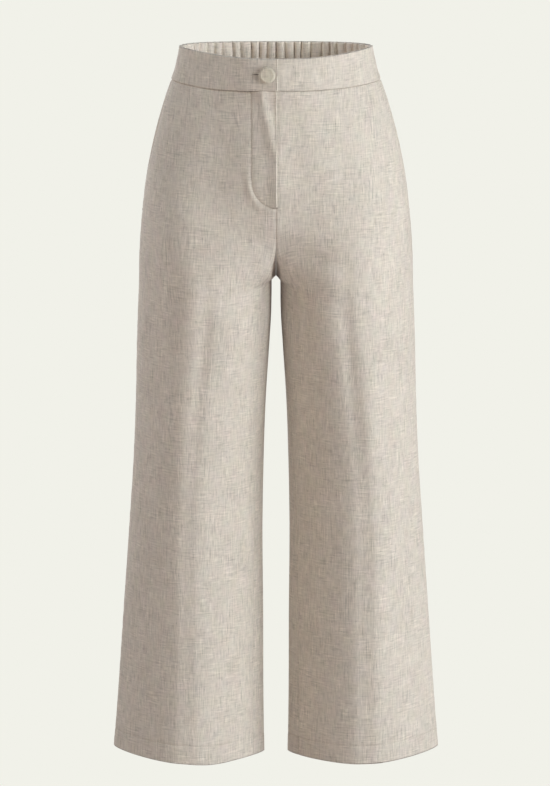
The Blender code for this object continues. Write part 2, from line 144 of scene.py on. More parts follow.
LEVEL_STEP = TURN_STEP = 4.0


class RingTable:
    """Named columns read at any level, by a smooth curve through the rows."""

    def __init__(self, columns, rows):
        self.columns = columns.split()
        self.rows = np.array(sorted(rows), dtype=float)
        step = np.diff(self.rows[:, 0])
        slope = np.diff(self.rows, axis=0) / step[:, None]
        inner = (slope[:-1] * step[1:, None] + slope[1:] * step[:-1, None]) / (step[:-1] + step[1:])[:, None]
        self.slopes = np.vstack([slope[0], inner, slope[-1]])

    def at(self, level):
        level = np.asarray(level, dtype=float)
        levels = self.rows[:, 0]
        low = np.clip(np.searchsorted(levels, level) - 1, 0, len(levels) - 2)
        span = (levels[low + 1] - levels[low])[..., None]
        s = (level - levels[low])[..., None] / span
        row = (
            (2 * s**3 - 3 * s**2 + 1) * self.rows[low]
            + (s**3 - 2 * s**2 + s) * span * self.slopes[low]
            + (3 * s**2 - 2 * s**3) * self.rows[low + 1]
            + (s**3 - s**2) * span * self.slopes[low + 1]
        )
        return SimpleNamespace(**{name: row[..., k] for k, name in enumerate(self.columns)})


# A place on the cloth is a level, its height at the side, and a turn round its ring in degrees: 0 at the
# side, -90 and 90 at the front and back creases, and 180 at the centre or the leg's inner edge.
# Rings round the body, waist to crotch. width: centre to side. front, back: depth from the side line.
# front_crease, back_crease: centre to crease. power: 2 is an ellipse, less is more pointed.
# front_dip, back_dip: how much lower the ring runs there than at the side.
BODY = RingTable(
    "level width front back front_crease back_crease power front_dip back_dip",
    [
        (22, 126.0, 87, 87, 24, 24, 1.80, 8.3, 2.5),
        (8, 127.4, 87.5, 88.5, 24, 24, 1.80, 8.2, 2.5),
        (-8, 130.6, 89, 91, 25, 26, 1.82, 8.0, 2.5),
        (-22, 135.5, 91, 94.5, 26, 28, 1.84, 7.6, 2.4),
        (-50, 145.3, 96, 102, 29, 34, 1.88, 6.0, 2.0),
        (-90, 156.9, 104, 112, 34, 42, 1.92, 3.5, 1.0),
        (-140, 167.8, 111, 122, 42, 52, 1.95, 1.0, 0.0),
        (-200, 175.3, 115, 128, 58, 66, 1.94, 0.0, 0.0),
        (-245, 178.7, 114, 127, 74, 79, 1.88, 0.0, 0.0),
        (-290, 179.8, 111, 121, 88, 90, 1.80, 0.0, 0.0),
    ],
)

# Rings round one leg, crotch to hem. inner: centre plane to the leg's inner edge. inner_y: its depth.
# lift: how much higher the ring runs at the inner edge than at the crease. drop: how much lower the whole
# ring runs at the inner edge than at the side. seam_turn: how far the inseam sits forward of that edge.
LEG = RingTable(
    "level width front back front_crease back_crease power inner inner_y lift drop seam_turn",
    [
        (-290, 179.8, 111, 121, 88, 90, 1.80, 4.6, -4, 10.5, 0.0, 0),
        (-298, 180.1, 110.5, 120, 89, 91, 1.79, 5.0, -4, 11.5, 0.0, 1),
        (-310, 180.7, 110, 118.5, 90, 92, 1.78, 5.2, -3, 8.5, 0.0, 3),
        (-330, 181.5, 108.5, 116, 91, 93, 1.76, 5.8, -2, 4.5, 0.0, 5),
        (-366, 182.8, 105, 111, 94, 95, 1.70, 8.4, 0, 1.0, 0.0, 9),
        (-446, 184.8, 98.5, 103, 103, 101, 1.60, 13.6, 2, 0.0, 0.3, 15),
        (-527, 188.4, 94.5, 98, 111, 106, 1.52, 16.4, 2, 0.0, 1.0, 19),
        (-608, 194.0, 92, 95, 116, 110, 1.46, 17.8, 2, 0.0, 2.0, 22),
        (-730, 202.9, 91, 94, 117, 113, 1.40, 17.0, 1, 0.0, 4.0, 24),
        (-853, 211.8, 92, 95, 118, 116, 1.37, 16.5, 1, 0.0, 6.0, 25),
        (-915, 216.9, 93, 96, 119, 118, 1.36, 15.6, 0, 0.0, 7.0, 25),
    ],
)

# Soft folds in the cloth, each along a line from x1, z1 to x2, z2. face: -1 front, 1 back. reach: half its
# width. height: out of the garment, or into it where negative.
FOLDS = [
    dict(zip("face x1 z1 x2 z2 reach height".split(), row))
    for row in [
        (-1, 120, -365, 124, -545, 18, 5.0),
        (-1, 14, -236, 112, -262, 17, -4.5),
        (-1, 16, -262, 70, -330, 16, 2.5),
        (-1, -16, -258, -120, -170, 22, 1.6),
        (-1, -14, -246, -92, -300, 15, -1.2),
        (-1, -122, -300, -127, -510, 24, 4.6),
        (-1, 40, -90, 92, -200, 24, 2.0),
        (-1, -158, -560, -150, -850, 22, -2.5),
        (-1, 134, -470, 140, -880, 20, 3.0),
        (-1, -138, -170, -107, -300, 38, 17.0),
        (-1, 94, -215, 84, -320, 38, 5.5),
        (-1, 116, -110, 122, -250, 32, 5.5),
        (1, 20, -240, 118, -330, 22, -2.8),
        (1, -22, -242, -112, -345, 22, -3.2),
        (1, 60, -290, 96, -430, 18, 3.0),
        (1, -64, -285, -92, -450, 18, 3.0),
        (1, 118, -420, 104, -640, 20, -4.0),
        (1, -112, -440, -120, -680, 20, -4.0),
        (1, 150, -640, 172, -860, 24, -3.0),
        (1, -148, -600, -166, -850, 24, -3.0),
    ]
]


def arc(angle, power):
    """Cosine and sine of a rounded, or slightly pointed, quarter."""
    angle = np.radians(angle)
    return abs(np.cos(angle)) ** (2 / power), abs(np.sin(angle)) ** (2 / power)


def body_point(level, turn):
    past_centre = abs(turn) > 180
    turn = np.where(past_centre, np.sign(turn) * (360 - abs(turn)), turn)
    ring = BODY.at(level)
    front = turn < 0
    crease = np.where(front, ring.front_crease, ring.back_crease)
    depth = np.where(front, -ring.front, ring.back)
    dip = np.where(front, ring.front_dip, ring.back_dip)
    across, deep = arc(turn, ring.power)
    outer = (crease + (ring.width - crease) * across, depth * deep, level - dip * deep**2)
    fork = np.where(front, FRONT_FORK, BACK_FORK)
    under = np.maximum(0.0, (fork - level) / (fork - CROTCH_LEVEL))
    seam_y = depth + (CROTCH_Y - depth) * (1 - np.cos(under * pi / 2))
    seam_z = np.where(under == 0, level - dip, fork - dip - (fork - CROTCH_Z) * np.sin(under * pi / 2))
    last = FORK_TURN + (CREASE_TURN - FORK_TURN) * under
    arch = CROTCH_ARCH * under
    share = (abs(turn) - CREASE_TURN) / CREASE_TURN
    deep, across = arc(last * share, ring.power)
    last_deep, last_across = arc(last, ring.power)
    inner = (
        crease - (crease - arch) * across / last_across - arch * share**6,
        depth + (seam_y - depth) * (1 - deep) / (1 - last_deep),
        level - dip + (seam_z - level + dip) * share**2,
    )
    parts = [np.where(abs(turn) <= CREASE_TURN, far, near) for far, near in zip(outer, inner)]
    point = np.stack(np.broadcast_arrays(*parts), -1)
    point[..., 0] *= np.where(past_centre, -1, 1)
    return point


def leg_point(level, turn):
    turn = (turn + 180) % 360 - 180
    ring = LEG.at(level)
    crease = np.where(turn < 0, ring.front_crease, ring.back_crease)
    depth = np.where(turn < 0, -ring.front, ring.back)
    across, deep = arc(turn, ring.power)
    past_crease = np.maximum(0.0, abs(turn) / CREASE_TURN - 1)
    outer = past_crease == 0
    x = np.where(outer, crease + (ring.width - crease) * across, crease - (crease - ring.inner) * across)
    y = np.where(outer, depth * deep, ring.inner_y + (depth - ring.inner_y) * deep)
    z = level + ring.lift * past_crease**2 - ring.drop * (ring.width - x) / (ring.width - ring.inner)
    return np.stack(np.broadcast_arrays(x, y, z), -1)


def alike(*values):
    """The same values as arrays of one shape."""
    return np.broadcast_arrays(*[np.asarray(value, dtype=float) for value in values])


def ring_point(level, turn):
    level, turn = alike(level, turn)
    on_body = (level >= CROTCH_LEVEL)[..., None]
    body = body_point(np.maximum(level, CROTCH_LEVEL), turn)
    return np.where(on_body, body, leg_point(np.minimum(level, CROTCH_LEVEL), turn))


def smooth(share):
    share = np.clip(share, 0, 1)
    return share * share * (3 - 2 * share)


def ramp(value, none, full):
    """0 up to one value, 1 from the other on, and straight between them."""
    return np.clip((value - none) / (full - none), 0, 1)


def hump(away, reach):
    """1 where away is 0, and falling off softly to either side."""
    return np.exp(-((away / reach) ** 2))


def unit(vectors):
    return vectors / np.maximum(np.linalg.norm(vectors, axis=-1, keepdims=True), 1e-9)


def ring_normal(level, turn):
    """Square to the cloth, out of the garment."""
    level, turn = alike(level, turn)
    normals = []
    for point_on, above, below in (
        (body_point, level + LEVEL_STEP, np.maximum(level - LEVEL_STEP, CROTCH_LEVEL)),
        (leg_point, np.minimum(level + LEVEL_STEP, CROTCH_LEVEL), level - LEVEL_STEP),
    ):
        across = point_on(level, turn + TURN_STEP) - point_on(level, turn - TURN_STEP)
        normals.append(unit(np.cross(across, point_on(above, turn) - point_on(below, turn))))
    return np.where((level >= CROTCH_LEVEL)[..., None], *normals)


FOLD_END, FOLD_RUN = 0.15, 0.7


def fold_relief(point, normal, hand):
    """Height of the soft folds at a point, on the face that it belongs to. Each is highest in its middle."""
    height = np.zeros(point.shape[:-1])
    place = point[..., [0, 2]] * (hand, 1)
    for fold in FOLDS:
        facing = np.maximum(0.0, fold["face"] * normal[..., 1])
        start = np.array([fold["x1"], fold["z1"]])
        line = np.array([fold["x2"], fold["z2"]]) - start
        along = np.clip((place - start) @ line / (line @ line), 0, 1)
        away = np.linalg.norm(place - start - along[..., None] * line, axis=-1)
        full = np.sin(pi * (FOLD_END + FOLD_RUN * along))
        height += fold["height"] * facing * hump(away, fold["reach"]) * full
    return height


# Here and below, a pair of levels is where a form starts and where it is full.
CENTRE_RISE, CENTRE_REACH, CENTRE_ROUND = 4.0, {LEFT: 56.0, RIGHT: 62.0}, 0.35
CENTRE_END, BAND_START, BAND_GAIN = (-225.0, -150.0), (-45.0, -20.0), 0.6
FLATTENED, FLAT_X, FLAT_REACH = {LEFT: 0.0, RIGHT: 4.5}, 86.0, 40.0
LEAN, LEAN_REACH, BAND_LEAN_REACH = 9.0, {LEFT: 115.0, RIGHT: 85.0}, 22.0


def centre_relief(point, normal, hand):
    """The front stands proud along the centre, where the lap and the fly make it thick, most at the band."""
    across, level = point[..., 0] * hand, point[..., 2]
    on_band = ramp(level, *BAND_START)
    gain = 1 + BAND_GAIN * on_band
    slope = np.clip(1 - abs(across) / np.where(across > 0, CENTRE_REACH[LEFT], CENTRE_REACH[RIGHT]), 0, 1)
    rise = CENTRE_RISE * gain * (slope - CENTRE_ROUND * np.sin(pi * slope) / pi)
    flat = FLATTENED[hand] * hump(abs(across) - FLAT_X, FLAT_REACH)
    lean_reach = np.where(across > 0, LEAN_REACH[LEFT], LEAN_REACH[RIGHT]) + BAND_LEAN_REACH * on_band
    lean = LEAN * gain * smooth(1 - abs(across) / lean_reach)
    return (rise - flat + lean) * ramp(level, *CENTRE_END) * np.clip(-normal[..., 1], 0, 1)


def on_front(turn):
    return (turn + 180) % 360 < 180


CREASE_WORN, WORN_START = ((3.0, 9.0), (3.4, 24.0)), (-230.0, -320.0)


def worn_crease(level, point, turn):
    """How far back the creases of the legs are worn round, so that they aren't sharp. In front that is +Y."""
    ring = LEG.at(np.minimum(level, CROTCH_LEVEL))
    away = point[..., 0] - np.where(on_front(turn), ring.front_crease, ring.back_crease)
    worn = sum(height * hump(away, reach) for height, reach in CREASE_WORN)
    return worn * ramp(level, *WORN_START) * np.where(on_front(turn), 1, -1)


HEM_SAG, HEM_SAG_X, HEM_SAG_REACH, HEM_SAG_START = {LEFT: 0.0, RIGHT: 2.4}, 80.0, 30.0, (-820.0, -910.0)


def hem_sag(level, point, turn, hand):
    """The wearer's right hem hangs a little lower inside its crease."""
    low = HEM_SAG[hand] * on_front(turn) * ramp(level, *HEM_SAG_START)
    return low * hump(point[..., 0] - HEM_SAG_X, HEM_SAG_REACH)


def cloth_point(level, turn, hand, raised=0.0):
    """A place on the garment's outer face, in the wearer's-left frame."""
    point, normal = ring_point(level, turn), ring_normal(level, turn)
    relief = fold_relief(point, normal, hand) + centre_relief(point, normal, hand)
    worn = worn_crease(level, point, turn)
    point[..., 2] -= hem_sag(level, point, turn, hand)
    point[..., 1] += worn
    return point + normal * (np.asarray(raised) + relief)[..., None]


def spaced(length, middle, first=(), last=()):
    """Places from 0 to length, close together at the ends and even in the middle."""
    start, end = np.cumsum([0.0, *first]), length - np.cumsum([0.0, *last])[::-1]
    count = max(2, int(round((end[0] - start[-1]) / middle)))
    return np.concatenate([start, np.linspace(start[-1], end[0], count + 1)[1:-1], end])


RING_SAMPLES = 140


def turns_at(levels, first_turn, last_turn, shares):
    """Turns on each ring, at even shares of its length between two turns, and that length."""
    first, last = (np.broadcast_to(turn, levels.shape)[:, None] for turn in (first_turn, last_turn))
    turns = first + (last - first) * np.linspace(0, 1, RING_SAMPLES)
    points = ring_point(levels[:, None], turns)
    length = np.cumsum(np.linalg.norm(np.diff(points, axis=1), axis=-1), axis=1)
    length = np.concatenate([np.zeros((len(levels), 1)), length], axis=1)
    found = np.array([np.interp(shares * run[-1], run, row) for run, row in zip(length, turns)])
    return found, length[:, -1]


EDGE_SPACING = (0.8, 1.0, 1.4, 2.0, 2.6)


def sheet_grid(down, first_turn, last_turn, spacing, measure, first=EDGE_SPACING, last=EDGE_SPACING):
    """A sheet's turns and levels, its columns' shares of the way across, and each row's width."""
    _, widths = turns_at(down, first_turn, last_turn, np.array([0.0, 1.0]))
    width = measure(widths)
    shares = spaced(width, spacing, first, last) / width
    turns, widths = turns_at(down, first_turn, last_turn, shares)
    return turns, np.broadcast_to(down[:, None], turns.shape), shares, widths[:, None]


def pocket_gape(level):
    """How far, in turn, the front's edge stands forward of the side seam at the pocket mouth."""
    return POCKET_GAPE * np.sin(pi * ramp(level, POCKET_TOP, POCKET_BOTTOM) ** 0.65)


def inseam_turn(level):
    return np.where(level < CROTCH_LEVEL, LEG.at(np.minimum(level, CROTCH_LEVEL)).seam_turn, 0.0)


GRAIN_X, GRAIN_FLARE = 116, 0.03


def grain_x(level):
    """Where the straight grain runs, measured from the centre plane: plumb, but for a slight flare."""
    return GRAIN_X - GRAIN_FLARE * (level - HEM_LEVEL)


def leg_chart(levels, x, from_inner, hand, outward, shift=0.0):
    """Places on a flat leg, its straight grain upright. outward: 1 where columns run so, or else -1."""
    straight = grain_x(levels)
    rows = zip(straight[:, 0], x[:, ::outward], from_inner[:, ::outward])
    grain = np.array([np.interp(at, row, run) for at, row, run in rows])
    return np.stack([(straight + from_inner - grain[:, None]) * MM * hand + shift, levels * MM], -1)


def grid_normals(points):
    """Normals of a grid of points, rows going down and columns going round to the back."""
    down, round_ = np.gradient(points, axis=0), np.gradient(points, axis=1)
    return unit(np.cross(down, round_))


def new_piece(name, points, faces, material):
    mesh = bpy.data.meshes.new(name)
    mesh.from_pydata(points, [], faces)
    mesh.materials.append(material)
    mesh.shade_smooth()
    piece = bpy.data.objects.new(name, mesh)
    scene.collection.objects.link(piece)
    return piece


ROUNDING, SEAM_LIP, LIP_SET_BACK = 3, 0.6, 0.8


def shell(name, outer, thickness, hand, chart, material, seam_lip=SEAM_LIP, inner=None, painted_light_inside=None):
    """A closed sheet of cloth with rounded edges. outer: rows and columns of points in millimetres, top row
    first. thickness: by row and column, or inner: the other face's own points. chart: each point's place on
    the flat cloth, in metres. seam_lip: how far its two side edges round over."""
    rows, columns = outer.shape[:2]
    normals = grid_normals(outer)
    thickness = np.broadcast_to(thickness, (rows, columns))
    inner = outer - normals * thickness[..., None] if inner is None else inner.copy()
    rim = [(0, c) for c in range(columns)] + [(r, columns - 1) for r in range(1, rows)]
    rim += [(rows - 1, c) for c in range(columns - 2, -1, -1)] + [(r, 0) for r in range(rows - 2, 0, -1)]
    rim = tuple(np.array(rim).T)
    within = np.clip(rim[0], 1, rows - 2), np.clip(rim[1], 1, columns - 2)
    outward = outer[rim] - outer[within]
    outward = unit(outward - (outward * normals[rim]).sum(-1, keepdims=True) * normals[rim])
    half = thickness[rim][:, None] / 2
    beside = ((rim[1] == 0) | (rim[1] == columns - 1))[:, None]
    lip = np.where(beside, np.minimum(half, seam_lip), half)
    outer = outer.copy()
    outer[rim] -= outward * lip * LIP_SET_BACK
    inner[rim] -= outward * lip * LIP_SET_BACK
    middle, across = (outer[rim] + inner[rim]) / 2, (outer[rim] - inner[rim]) / 2
    angles = [pi * k / (ROUNDING + 1) for k in range(1, ROUNDING + 1)]
    bends = [middle + across * cos(a) + lip * outward * sin(a) for a in angles]
    count, around = rows * columns, np.arange(len(rim[0]))
    grid = np.arange(count).reshape(rows, columns)
    rings = [2 * count + k * len(around) + around for k in range(ROUNDING)]
    rings = [grid[rim], *rings, count + grid[rim]]
    a, b, c, d = grid[:-1, :-1], grid[1:, :-1], grid[1:, 1:], grid[:-1, 1:]
    faces = [np.stack([a, b, c, d], -1).reshape(-1, 4), np.stack([a, d, c, b], -1).reshape(-1, 4) + count]
    for upper, lower in zip(rings, rings[1:]):
        faces.append(np.stack([upper, np.roll(upper, -1), np.roll(lower, -1), lower], -1))
    faces = np.concatenate(faces)
    if hand == RIGHT:
        faces = faces[:, ::-1]
    points = np.concatenate([outer.reshape(-1, 3), inner.reshape(-1, 3), *bends]) * (hand * MM, MM, MM)
    piece = new_piece(name, points.tolist(), faces.tolist(), material)
    mesh = piece.data
    flat = chart.reshape(-1, 2)
    places = np.concatenate([flat, flat] + [chart[rim]] * ROUNDING)
    layer = mesh.uv_layers.new(name="cut")
    corner = np.zeros(len(mesh.loops), dtype=np.int32)
    mesh.loops.foreach_get("vertex_index", corner)
    layer.data.foreach_set("uv", places[corner].astype(np.float32).ravel())
    # A second material for the inner faces, used for painted light: a paler copy of the cloth.
    if painted_light_inside is not None:
        mesh.materials.append(painted_light_inside)
        outer_faces = (rows - 1) * (columns - 1)
        for face in mesh.polygons[outer_faces : 2 * outer_faces]:
            face.material_index = 1
    mesh.validate()
    return piece


def dress(piece, node):
    """The piece rides on the one body and stands for its plain solid, which is hidden."""
    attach(piece, "root")
    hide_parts(node)
    return piece


WARP_TONE, WEFT_TONE, CLOUD_TONE = 0.36, 0.25, 0.18
DARK_DOWN, DARK_ACROSS, PALE_SLUB = 0.17, 0.13, 0.12
NEP, HUE_DRIFT = 0.16, 0.055
WARP_RELIEF, WEFT_RELIEF, SLUB_RELIEF = 0.6, 0.5, 2.0


def new_material(name):
    material = bpy.data.materials.new(name)
    material.use_nodes = True
    nodes = material.node_tree.nodes
    return material, nodes, material.node_tree.links, nodes["Principled BSDF"]


def linen(name, colour):
    """Plain-woven linen: uneven yarns both ways, dark and pale slubs in patches, and a thread relief."""
    material, nodes, links, shader = new_material(name)
    set_sockets(shader, Roughness=0.88, Specular_IOR_Level=0.22, Sheen_Weight=0.12, Sheen_Roughness=0.45)
    cut = nodes.new("ShaderNodeUVMap")
    cut.uv_map = "cut"

    def yarns(across, along, detail, shift):
        """Streaks: across and along are how many there are to a metre in each direction."""
        place = nodes.new("ShaderNodeMapping")
        set_sockets(place, Location=(shift, shift * 1.7, 0), Scale=(across, along, 1))
        noise = nodes.new("ShaderNodeTexNoise")
        noise.noise_dimensions = "2D"
        set_sockets(noise, Scale=1.0, Detail=detail, Roughness=0.55)
        links.new(cut.outputs[0], place.inputs["Vector"])
        links.new(place.outputs[0], noise.inputs["Vector"])
        return noise.outputs["Fac"]

    def marks(source, low, high, give):
        """Only the strongest of the streaks, from 0 up to give."""
        node = nodes.new("ShaderNodeMapRange")
        node.interpolation_type = "SMOOTHSTEP"
        links.new(source, node.inputs["Value"])
        set_sockets(node, From_Min=low, From_Max=high, To_Min=0.0, To_Max=give)
        return node.outputs["Result"]

    def maths(operation, *terms):
        node = nodes.new("ShaderNodeMath")
        node.operation = operation
        for socket, value in zip(node.inputs, terms):
            if isinstance(value, (int, float)):
                socket.default_value = value
            else:
                links.new(value, socket)
        return node.outputs[0]

    def slubs(across, along, shift, low, give, patch):
        """Thick places in single yarns, where a patch lets them show."""
        return maths("MULTIPLY", marks(yarns(across, along, 1.0, shift), low, 0.76, give), patch)

    def even(source, give):
        """The same spread, give wide, about 0."""
        return maths("MULTIPLY_ADD", source, give, -give / 2)

    warp = yarns(560, 66, 1.0, 3.1)
    weft = yarns(74, 560, 1.0, 7.7)
    patch_down = marks(yarns(34, 24, 2.0, 29.3), 0.40, 0.60, 1.0)
    patch_across = marks(yarns(26, 34, 2.0, 31.9), 0.40, 0.60, 1.0)
    dark_down = slubs(450, 44, 11.3, 0.50, DARK_DOWN, patch_down)
    dark_across = slubs(48, 460, 17.9, 0.50, DARK_ACROSS, patch_across)
    pale_down = slubs(450, 36, 41.0, 0.52, PALE_SLUB, patch_down)
    pale_across = slubs(42, 460, 43.7, 0.52, PALE_SLUB, patch_across)
    pale = maths("ADD", pale_down, pale_across)
    tone = maths("MULTIPLY_ADD", warp, WARP_TONE, 1.0 - WARP_TONE / 2)
    tone = maths("ADD", tone, even(weft, WEFT_TONE))
    tone = maths("ADD", tone, even(yarns(24, 15, 3.0, 23.0), CLOUD_TONE))
    tone = maths("SUBTRACT", tone, maths("ADD", dark_down, dark_across))
    tone = maths("SUBTRACT", tone, marks(yarns(330, 260, 0.0, 71.0), 0.80, 0.87, NEP))
    tone = maths("ADD", tone, pale)
    grey = nodes.new("ShaderNodeCombineColor")
    for channel, shift in zip(grey.inputs, (51.0, 57.0, 63.0)):
        links.new(maths("ADD", tone, even(yarns(60, 45, 1.0, shift), HUE_DRIFT)), channel)
    paint = nodes.new("ShaderNodeMix")
    paint.data_type = "RGBA"
    paint.blend_type = "MULTIPLY"
    set_sockets(paint, Factor=1.0, A=(*colour, 1))
    links.new(grey.outputs[0], paint.inputs["B"])
    links.new(paint.outputs["Result"], shader.inputs["Base Color"])
    thread = maths("ADD", maths("MULTIPLY", warp, WARP_RELIEF), maths("MULTIPLY", weft, WEFT_RELIEF))
    thread = maths("ADD", thread, maths("MULTIPLY", pale, SLUB_RELIEF))
    bump = set_sockets(nodes.new("ShaderNodeBump"), Strength=0.5, Distance=0.0006)
    links.new(thread, bump.inputs["Height"])
    links.new(bump.outputs[0], shader.inputs["Normal"])
    return material


OATMEAL = (0.63, 0.575, 0.505)
panel_linen = linen("panel_linen", OATMEAL)

# Heights of the rows above the hem's edge: close together at its stitching, its fold and its edge.
HEM_ROWS = (31, 28.6, 27, 26, 25.2, 24.5, 23.8, 23, 22, 20, 17, 14, 11, 8, 5, 3, 1.6, 0.7, 0)
HEM_ROWS_FROM = 8.0
WAIST_SPACING, FRONT_SPACING = (0.8, 1.0, 1.4, 2.0), 3.3


def leg_levels(spacing):
    """Levels of a leg panel's rows, from the waist seam down to the hem."""
    above = WAIST_SEAM - spaced(WAIST_SEAM - HEM_LEVEL, spacing, WAIST_SPACING)
    return np.concatenate([above[above > HEM_TOP + HEM_ROWS_FROM], HEM_LEVEL + np.array(HEM_ROWS)])


front_levels = leg_levels(FRONT_SPACING)


def panel_cloth(level):
    """How thick a leg panel is: doubled at the hem."""
    return CLOTH + (HEM_CLOTH - CLOTH) * ramp(level, HEM_TOP + 1, HEM_TOP - 1)


SEAM_DIP, SEAM_DIP_REACH, PUCKER, PUCKER_REACH = 0.55, 1.6, 0.16, 7.0
HEM_GROOVE, HEM_GROOVE_REACH, HEM_PROUD, HEM_STEP = 0.5, 1.3, 0.25, 1.5
WAIST_DIP, WAIST_DIP_REACH = 1.2, 2.0


def seam_roll(distance, level, seed):
    """How the cloth dips and puckers beside a sewn seam."""
    pucker = np.sin(level / 4.1 + seed + 1.7 * np.sin(level / 23.0 + seed))
    pucker = pucker * np.sin(level / 61.0 + 2.3 * seed)
    return -SEAM_DIP * hump(distance, SEAM_DIP_REACH) + PUCKER * pucker * hump(distance, PUCKER_REACH)


def hem_relief(level):
    """The groove of the hem's stitching, and the doubled cloth below it."""
    above = level - HEM_LEVEL - HEM_DEPTH
    return -HEM_GROOVE * hump(above, HEM_GROOVE_REACH) + HEM_PROUD / (1 + np.exp(above / HEM_STEP))


def waist_dip(level):
    return -WAIST_DIP * hump(WAIST_SEAM - level, WAIST_DIP_REACH)


FLY_WIDTH, FLY_PAST = 31.0, 0.8
FLY_BEND, FLY_DROP = -141.0, 35.0
FLY_END = FLY_BEND - FLY_DROP

DRAW, DRAW_REACH, DRAW_START, DRAW_END = 1.5, 15.0, (-205, -260), (-380, -285)
SLOT, SLOT_START, SLOT_END = 26.0, (-217, -259), (-291, -260)
SLOT_HALF, SLOT_WIDENS, SLOT_WIDE = 1.0, 2.6, (-224, -256)
CORNER_PUSH, CORNER_START, CORNER_END = {LEFT: 14.0, RIGHT: 24.0}, (-228, -302), (-520, -330)
CORNER_TURN, CORNER_REACH, CORNER_EDGE = 167, 19, 5
CORNER_LIFT, CORNER_LIFT_LEVEL, CORNER_LIFT_REACH = 0.2, -289, 16


def crotch_draw(level, from_inner):
    """The cloth sinks gently in towards the centre seam as it nears the crotch."""
    return -DRAW * (ramp(level, *DRAW_START) * ramp(level, *DRAW_END)) * hump(from_inner, DRAW_REACH)


def crotch_slot(level, x):
    """How far back the centre seam runs between the legs, where they meet above the crotch."""
    deep = SLOT * smooth(ramp(level, *SLOT_START)) * smooth(ramp(level, *SLOT_END))
    return deep * hump(x, SLOT_HALF + SLOT_WIDENS * smooth(ramp(level, *SLOT_WIDE)))


def inner_corner(level, turn, hand):
    """How far forward, or back behind, each leg keeps its fullness close to its inner edge, by the crotch."""
    turn = (turn + 180) % 360 - 180
    window = smooth(ramp(level, *CORNER_START)) * ramp(level, *CORNER_END)
    near = hump(abs(turn) - CORNER_TURN, CORNER_REACH) * (1 - hump(180 - abs(turn), CORNER_EDGE))
    return CORNER_PUSH[hand] * window * near * np.sign(turn)


# Beside the fly. FILL: the left front under it. SINK: the left front along its folded edge. GROOVE: its
# stitches, on the right front. CURL: the cloth outside the J's curve.
FILL_HIGH, FILL_REACH, FILL_LEVEL, FILL_SPAN = 2.4, 14.0, -130, 42
SINK_DEEP, SINK_X, SINK_REACH, SINK_START = 0.55, 2.6, 1.3, (FLY_END, FLY_END + 6)
GROOVE_DEEP, GROOVE_REACH = 0.7, 1.5
CURL_HIGH, CURL_AWAY, CURL_REACH, CURL_BELOW, CURL_SPAN = 2.6, 5.4, 4.2, 14, 26


def fly_surround(level, x, hand):
    """The right front is drawn in along the J's stitches and stands soft and proud beside its curve. The left
    front is full under the fly, and sinks a little beside its folded edge."""
    if hand == LEFT:
        filled = hump(x, FILL_REACH) * hump(level - FILL_LEVEL, FILL_SPAN)
        return FILL_HIGH * filled - SINK_DEEP * (hump(x - SINK_X, SINK_REACH) * ramp(level, *SINK_START))
    below = np.maximum(0.0, FLY_BEND - level)
    outside = np.hypot(x / FLY_WIDTH, below / FLY_DROP) - 1
    outside = outside * np.where(below > 0, FLY_DROP, FLY_WIDTH)
    curl = CURL_HIGH * hump(level - FLY_BEND + CURL_BELOW, CURL_SPAN)
    return -GROOVE_DEEP * hump(outside, GROOVE_REACH) + curl * hump(outside - CURL_AWAY, CURL_REACH)


POCKET_SEWN = 12.0


def front_panel(side, hand):
    first = -180 + inseam_turn(front_levels)
    last = SIDE_SEAM - pocket_gape(front_levels)
    turns, levels, shares, widths = sheet_grid(front_levels, first, last, FRONT_SPACING, np.max)
    from_inner = shares * widths
    from_side = widths - from_inner
    x = ring_point(levels, turns)[..., 0]
    sewn = np.clip(1 - np.minimum(POCKET_TOP - levels, levels - POCKET_BOTTOM) / POCKET_SEWN, 0, 1)
    raised = seam_roll(from_inner, levels, 1.0 + hand) + hem_relief(levels)
    raised = raised + sewn * seam_roll(from_side, levels, 3.0 + hand)
    raised = raised + crotch_draw(levels, from_inner) + waist_dip(levels)
    points = cloth_point(levels, turns, hand, raised + fly_surround(levels, x, hand))
    corner = inner_corner(levels, turns, hand)
    points[..., 1] += corner + crotch_slot(levels, x)
    points[..., 2] -= CORNER_LIFT * corner * hump(levels - CORNER_LIFT_LEVEL, CORNER_LIFT_REACH)
    chart = leg_chart(levels, x, from_inner, hand, 1)
    piece = shell("front_" + side + "_cloth", points, panel_cloth(levels), hand, chart, panel_linen)
    dress(piece, "front_" + side)


for hand, side in SIDES:
    front_panel(side, hand)

# ---------------------------------------------------------------- back panels
# The two backs are cut wider than the fronts and drawn in at the waist by the elastic in the band above
# them. Their gathers start at the waist seam and die out over the seat, each at its own length.
HALF_GATHERS, GATHER_DEPTH = 13, 2.0
GATHER_UNEVEN, GATHER_ROUND, GATHER_FADE = {LEFT: 1.9, RIGHT: 2.6}, 0.7, 1.3
GATHER_END, GATHER_END_SPREAD = -126.0, 34.0
BACK_ROWS, BACK_SPACING, BACK_DRAW = 3.7, 2.1, 0.6
back_levels = leg_levels(BACK_ROWS)


